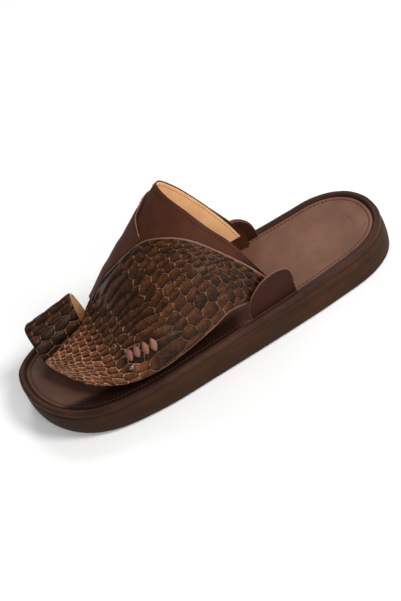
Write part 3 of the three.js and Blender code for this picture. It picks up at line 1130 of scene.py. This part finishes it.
def make_footbed():
    edge = RIM_WIDTH + CLEARANCE

    def at(inset):
        return lambda along: lip_height(inset, along)

    def worn(inward):
        def height(along):
            heel = np.exp(-((along - 0.12) / 0.08) ** 2)
            ball = np.exp(-((along - 0.70) / 0.09) ** 2)
            middle = smooth(0.0, 0.7, inward)
            return insole_top(along) - (0.5 * heel + 0.45 * ball) * middle
        return height

    profile = [(edge, inward, lambda along: block_top(along) + CLEARANCE) for inward in (1, 0.5, 0)]
    for inset in (edge, *SEAM_STEPS, 11, 12, 13.5, 15, 17, 19):
        profile.append((inset, 0, at(inset)))
    inner = edge + LIP_WIDTH
    for inward in (0, 0.1, 0.22, 0.36, 0.5, 0.65, 0.8, 1):
        profile.append((inner, inward, worn(inward)))

    def leaf_shadow(points):
        """Painted shadow: the leather is darkened under the leaf and between the leaf and the rim,
        where the leaf's shadow falls.
        """
        along = points[:, 0] / SOLE_LENGTH + 0.5
        beside = smooth(20, 34, points[:, 1]) * smooth(0.38, 0.46, along)
        return np.maximum(smooth(0.52, 0.74, along) * 0.55, beside)

    piece = section_solid("footbed_cover", 220, profile, leaf_shadow)
    dress(piece, footbed_hide, "footbed_leather", "insole")

    def seam(share):
        x, y, along = outline(share * TAU, np.full(len(share), SEAM_INSET))
        points = np.stack([x, y, lip_height(SEAM_INSET, along)], -1)
        return points, np.tile([0.0, 0.0, 1.0], (len(share), 1))

    row = stitch_row("footbed_stitches", seam, 3.1, 2.3, 0.75, 0.3)
    dress(row, footbed_thread, "footbed_leather")


# Upper and its panels


def upper_grid(u, v):
    """Where the upper's grid lies: along and across, between its collar and its hidden edges."""
    start = LEAF["along"][0]
    end = LEAF["along"][-1] - EDGE_SHORT / 3
    def lower_at(along):
        return curve(LEAF, "lower", along) - EDGE_SHORT
    across = lerp(-1, lower_at(MIDDLE), v)
    collar = np.maximum(curve(COLLAR, "along", across), start)
    back_along = lerp(collar, MIDDLE, np.clip(2 * u, 0, 1))
    back_across = lerp(across, np.minimum(across, lower_at(back_along)), v)
    front_along = lerp(MIDDLE, end, np.clip(2 * u - 1, 0, 1))
    medial_end = INNER_PANEL["along"][-1]
    medial = curve(INNER_PANEL, "lower", np.minimum(front_along, medial_end))
    leaf = curve(LEAF, "upper", front_along) + EDGE_SHORT
    inner = np.where(front_along < medial_end, medial, np.maximum(medial, leaf))
    front_across = lerp(inner, lower_at(front_along), v)
    behind = u <= 0.5
    return np.where(behind, back_along, front_along), np.where(behind, back_across, front_across)


def collar_line(lift, back, first=-0.97, last=0.93):
    """A line that follows the collar's edge, a little in front of it."""
    def line(share):
        across = lerp(first, last, share)
        along = curve(COLLAR, "along", across) + back / SOLE_LENGTH
        return lifted(vamp, along, across, lift), normal_of(vamp, along, across)
    return line


OUTER_WALL = 1.1
LINING_START = 0.018
COLLAR_SEAM = 2.4


def make_upper():
    def outside(u, v):
        along, across = upper_grid(u, v)
        rolled = 0.25 * (1 - smooth(0, 1.2, 60 * u))
        offset = UPPER_OUTSIDE - crease_depth(along, across) - rolled
        # Painted shade: the carried shade darkens the outer side's lowest strip, under the leaf's
        # lower edge.
        return lifted(vamp, along, across, offset), {"shade": smooth(0.70, 0.90, across)}

    def inside(u, v):
        along, across = upper_grid(u, lerp(LINING_START, 1, v))
        set_back = 0.6 / SOLE_LENGTH * (1 - smooth(0, 0.3, u))
        return lifted(vamp, along + set_back, across, UPPER_OUTSIDE - OUTER_WALL), {}

    piece = wall_of("vamp_outside", 150, 120, outside, OUTER_WALL)
    dress(piece, smooth_hide, "smooth_leather", "upper")
    lining = wall_of("vamp_lining", 110, 90, inside, UPPER_WALL - OUTER_WALL)
    dress(lining, tan, "smooth_leather")
    line = collar_line(UPPER_OUTSIDE, COLLAR_SEAM)
    row = stitch_row("collar_stitches", line, 2.9, 1.8, 0.85)
    dress(row, dark_thread, "smooth_leather")
    inner_line = collar_line(-UPPER_OUTSIDE - 0.1, COLLAR_SEAM)
    inner_row = stitch_row("collar_lining_stitches", inner_line, 2.6, 1.7, 0.5)
    dress(inner_row, brown_thread, "smooth_leather")


def panel_line(table, edge, lift, inset, first, last):
    """A line beside a panel's upper or lower edge, for its stitches."""
    def line(share):
        along = lerp(first, last, share)
        across = curve(table, edge, along) + inset
        return lifted(vamp, along, across, lift), normal_of(vamp, along, across)
    return line


def make_inner_panel():
    first = INNER_PANEL["along"][0]
    last = INNER_PANEL["along"][-1]

    def place(u, v):
        along = lerp(first, last, u)
        upper, lower = pair(INNER_PANEL, "upper", "lower", along)
        across = lerp(upper, lower, v)
        edge = np.minimum(v * (upper - lower), 1) * ACROSS_UNIT
        sunk = 0.3 * (1 - smooth(0, 1.5, edge)) + crease_depth(along, across)
        return lifted(vamp, along, across, MEDIAL_OUTSIDE - sunk), {}

    piece = wall_of("inner_panel_leather", 150, 110, place, MEDIAL_WALL - 0.1, (0, -1, 0.6))
    dress(piece, smooth_hide, "smooth_leather", "medial_panel")
    line = panel_line(INNER_PANEL, "upper", MEDIAL_OUTSIDE, -0.04, 0.345, 0.548)
    row = stitch_row("inner_panel_stitches", line, 2.6, 1.9, 0.62)
    dress(row, dark_thread, "smooth_leather")

    def cut_edge(u, v):
        along = lerp(0.335, 0.5505, u)
        across = curve(INNER_PANEL, "upper", along) + lerp(0.001, -0.014, v)
        lift = MEDIAL_OUTSIDE + 0.12 * np.sin(v * math.pi)
        return lifted(vamp, along, across, lift), {}

    strip = wall_of("inner_panel_cut_edge", 120, 6, cut_edge, 0.5)
    dress(strip, edge_hide, "smooth_leather")


def make_leaf():
    piece = sheet_of("leaf_skin", LEAF_ROWS, LEAF_COLUMNS, leaf_place)
    flip_outwards(piece, (0, 0.6, 1))
    shade_round(piece)
    dress(piece, skin, "scaled_leather", "leaf_panel")

    def backing(u, v):
        along = lerp(LEAF["along"][0], LEAF["along"][-1], u)
        upper, lower = pair(LEAF, "upper", "lower", along)
        return lifted(vamp, along, lerp(upper, lower, v), OVERLAY_INSIDE + 0.7), {}

    back = wall_of("leaf_backing", 110, 40, backing, 0.65)
    dress(back, edge_hide, "scaled_leather")
    seams = (("upper", 0.022, 0.335, 0.700), ("lower", -0.022, 0.340, 0.830))
    for edge, inset, first, last in seams:
        line = panel_line(LEAF, edge, LEAF_OUTSIDE - 0.35, inset, first, last)
        row = stitch_row(f"leaf_{edge}_stitches", line, 2.7, 1.8, 0.55)
        dress(row, dark_thread, "scaled_leather")


def make_loop():
    piece = sheet_of("loop_skin", LOOP_ROWS, LOOP_COLUMNS, loop_place)
    flip_outwards(piece, (0, 0, 1))
    shade_round(piece)
    dress(piece, skin, "scaled_leather", "toe_loop")

    def inside(u, v):
        across = lerp(-1, 1, v)
        back, front = pair(LOOP_ENDS, "back", "front", across)
        return lifted(loop_surface, lerp(back, front, u), across, -LOOP_WALL + 0.8), {}

    lining = wall_of("loop_lining", 30, 80, inside, 0.8)
    dress(lining, tan, "scaled_leather")


# Tabs, laces and studs


TAB_COLUMNS = 60
TAB_ROWS = 24


def tab_sheet(table, side, lean, layer, shrink):
    """One layer of a tab: layer is its depth in mm, shrink how far its outline draws in."""
    last = len(table["along"]) - 1
    centre = (table["along"][0] + table["along"][-1]) / 2

    def place(u, v):
        spot = u * last
        rows = {"step": np.arange(last + 1.0), **table}
        along, top = pair(rows, "along", "top", spot)
        along = centre + (along - centre) * (1 - shrink)
        top = top * (1 - shrink)
        foot = lerp(table["along"][0], table["along"][-1], u)
        here = lerp(foot, along, v)
        seam = np.abs(sole_side(here, np.full(len(here), side))) - RIM_WIDTH - CLEARANCE
        height = v * top
        belly = 0.5 * np.sin(v * math.pi) * np.sin(u * math.pi)
        out = seam - lean * height - layer - belly * (layer > 0)
        z = upper_foot(here) + height * TAB_HEIGHT
        rim = (v > 1 - 0.5 / TAB_ROWS) | (u < 0.5 / TAB_COLUMNS) | (u > 1 - 0.5 / TAB_COLUMNS)
        attributes = {"cut": rim * 0.4, "shade": np.full(len(here), 0.6)}
        return np.stack([length_at(here), side * out, z], -1), attributes

    return place


def make_tab(name, table, side, lean, node):
    outward = (0, side, 0.3)
    face = tab_sheet(table, side, lean, 0, 0)
    outer = wall_of(f"{name}_outside", TAB_COLUMNS, TAB_ROWS, face, 0.95, outward)
    apply_modifier(outer, "BEVEL", width=0.0002, segments=2, limit_method="ANGLE")
    dress(outer, smooth_hide, "smooth_leather", node)
    lower = tab_sheet(table, side, lean, 1.05, 0.035)
    inner = wall_of(f"{name}_inside", TAB_COLUMNS, TAB_ROWS, lower, 0.9, outward)
    dress(inner, smooth_hide, "smooth_leather")

    def line(share):
        u = lerp(0.06, 0.94, share)
        points, attributes = face(u, np.full(len(u), 0.88))
        return points, np.tile([0.0, float(side), 0.15], (len(u), 1))

    row = stitch_row(f"{name}_stitches", line, 2.4, 1.7, 0.55)
    dress(row, dark_thread, "smooth_leather")


def make_laces():
    """Thongs that cross the leaf's slit: plump almonds with pointed ends."""
    for index, (at, side) in enumerate(zip(LACES["along"], LACES["across"])):
        def place(u, v, at=at, side=side):
            reach = lerp(-1, 1, u)
            half = LACE_WIDTH * 0.58 * (1 - 0.9 * reach**2)
            swell = np.cos(lerp(-1, 1, v) * math.pi / 2) ** 0.7 * (1 - np.abs(reach) ** 2.6)
            along = at + lerp(-half, half, v) / SOLE_LENGTH + 0.001 * reach
            across = side + reach * LACE_HEIGHT / 2 / LACE_UNIT
            lift = LEAF_OUTSIDE + 0.3 + (LACE_PROUD + 0.4) * swell
            return lifted(vamp, along, across, lift), {}
        piece = wall_of(f"lace_thong_{index + 1}", 24, 16, place, 0.5)
        dress(piece, lace_hide, "lace_leather", f"lace_bar_{index + 1}")


def make_studs():
    """Domed studs, pressed into the leaf."""
    metal = stud_finish()
    for index, (at, side) in enumerate(zip(STUDS["along"], STUDS["across"])):
        here = (np.array([at]), np.array([side]))
        foot = Vector(lifted(vamp, *here, LEAF_OUTSIDE + 0.4)[0] * MM)
        normal = Vector(normal_of(vamp, *here)[0])
        bpy.ops.object.select_all(action="DESELECT")
        radius = STUD_DIAMETER / 2 * MM
        bpy.ops.mesh.primitive_uv_sphere_add(segments=24, ring_count=16, radius=radius)
        piece = bpy.context.object
        piece.name = f"stud_cap_{index + 1}"
        edit(piece, (bpy.ops.transform.resize, {"value": (1, 1, 0.55)}))
        ring = normal.to_track_quat("Z", "Y").to_matrix().to_4x4()
        piece.data.transform(Matrix.Translation(foot) @ ring)
        shade_round(piece)
        dress(piece, metal, "studs", f"stud_{index + 1}")


# Camera, floor and light


def make_camera():
    """The camera at the photograph's own angle to the shoe, rolled as it is there."""
    yaw, rise, roll = (math.radians(angle) for angle in (0.39, 41.32, 28.28))
    distance = 960
    focal_pixels = 1294.1
    image_height = 601
    target = Vector((-0.43, -15.06, 12.0))
    back = Vector((math.sin(yaw) * math.cos(rise), math.cos(yaw) * math.cos(rise), math.sin(rise)))
    level = (-back).cross(Vector((0, 0, 1))).normalized()
    upright = level.cross(-back)
    right = math.cos(roll) * level - math.sin(roll) * upright
    up = math.cos(roll) * upright + math.sin(roll) * level
    data = bpy.data.cameras.new("camera")
    data.sensor_width = 36
    data.lens = focal_pixels * data.sensor_width / image_height
    data.clip_start = 0.01
    data.clip_end = 50
    camera = bpy.data.objects.new("camera", data)
    turn = Matrix((right, up, back)).transposed().to_4x4()
    camera.matrix_world = Matrix.Translation((target + back * distance) * MM) @ turn
    bpy.context.scene.collection.objects.link(camera)
    bpy.context.scene.camera = camera


def make_floor():
    bpy.ops.object.select_all(action="DESELECT")
    bpy.ops.mesh.primitive_plane_add(size=8, location=(0, 0, -0.0002))
    floor = bpy.context.object
    floor.name = "floor"
    finish = Finish("pale_floor", Specular_IOR_Level=0.1, Emission_Strength=0.1)
    grain = finish.noise(6, 2, 0.5)
    colour = finish.ramp(grain, (0.3, tint("f4f4f3")), (0.7, tint("fafafa")))
    floor.data.materials.append(finish.paint(Base_Color=colour, Roughness=0.9))
    floor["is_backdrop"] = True


def make_light(name, place, size, power):
    data = bpy.data.lights.new(name, "AREA")
    data.shape = "DISK"
    data.size = size
    data.energy = power
    light = bpy.data.objects.new(name, data)
    light.location = place
    light.rotation_euler = (-Vector(place)).to_track_quat("-Z", "Y").to_euler()
    bpy.context.scene.collection.objects.link(light)


def make_lights():
    make_light("key", (-0.75, 0.55, 1.05), 0.45, 13)
    make_light("front", (-0.15, 1.15, 0.75), 0.7, 6)
    make_light("back", (-0.2, -0.9, 1.0), 0.5, 5)
    world = bpy.data.worlds.new("studio")
    world.use_nodes = True
    inputs = world.node_tree.nodes["Background"].inputs
    inputs["Color"].default_value = (1, 1, 1, 1)
    inputs["Strength"].default_value = 0.30
    bpy.context.scene.world = world
    bpy.context.scene.view_settings.view_transform = "Standard"


make_camera()
make_block()
make_rim()
make_footbed()
make_upper()
make_inner_panel()
make_leaf()
make_loop()
make_tab("outer_tab", OUTER_TAB, 1, 1, "tab_lateral")
make_tab("inner_tab", INNER_TAB, -1, 0, "tab_medial")
make_laces()
make_studs()
make_floor()
make_lights()

look_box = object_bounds()
boxes = {"cad": cad_box, "visual": look_box}
{name: [list(corner) for corner in box] for name, box in boxes.items()}
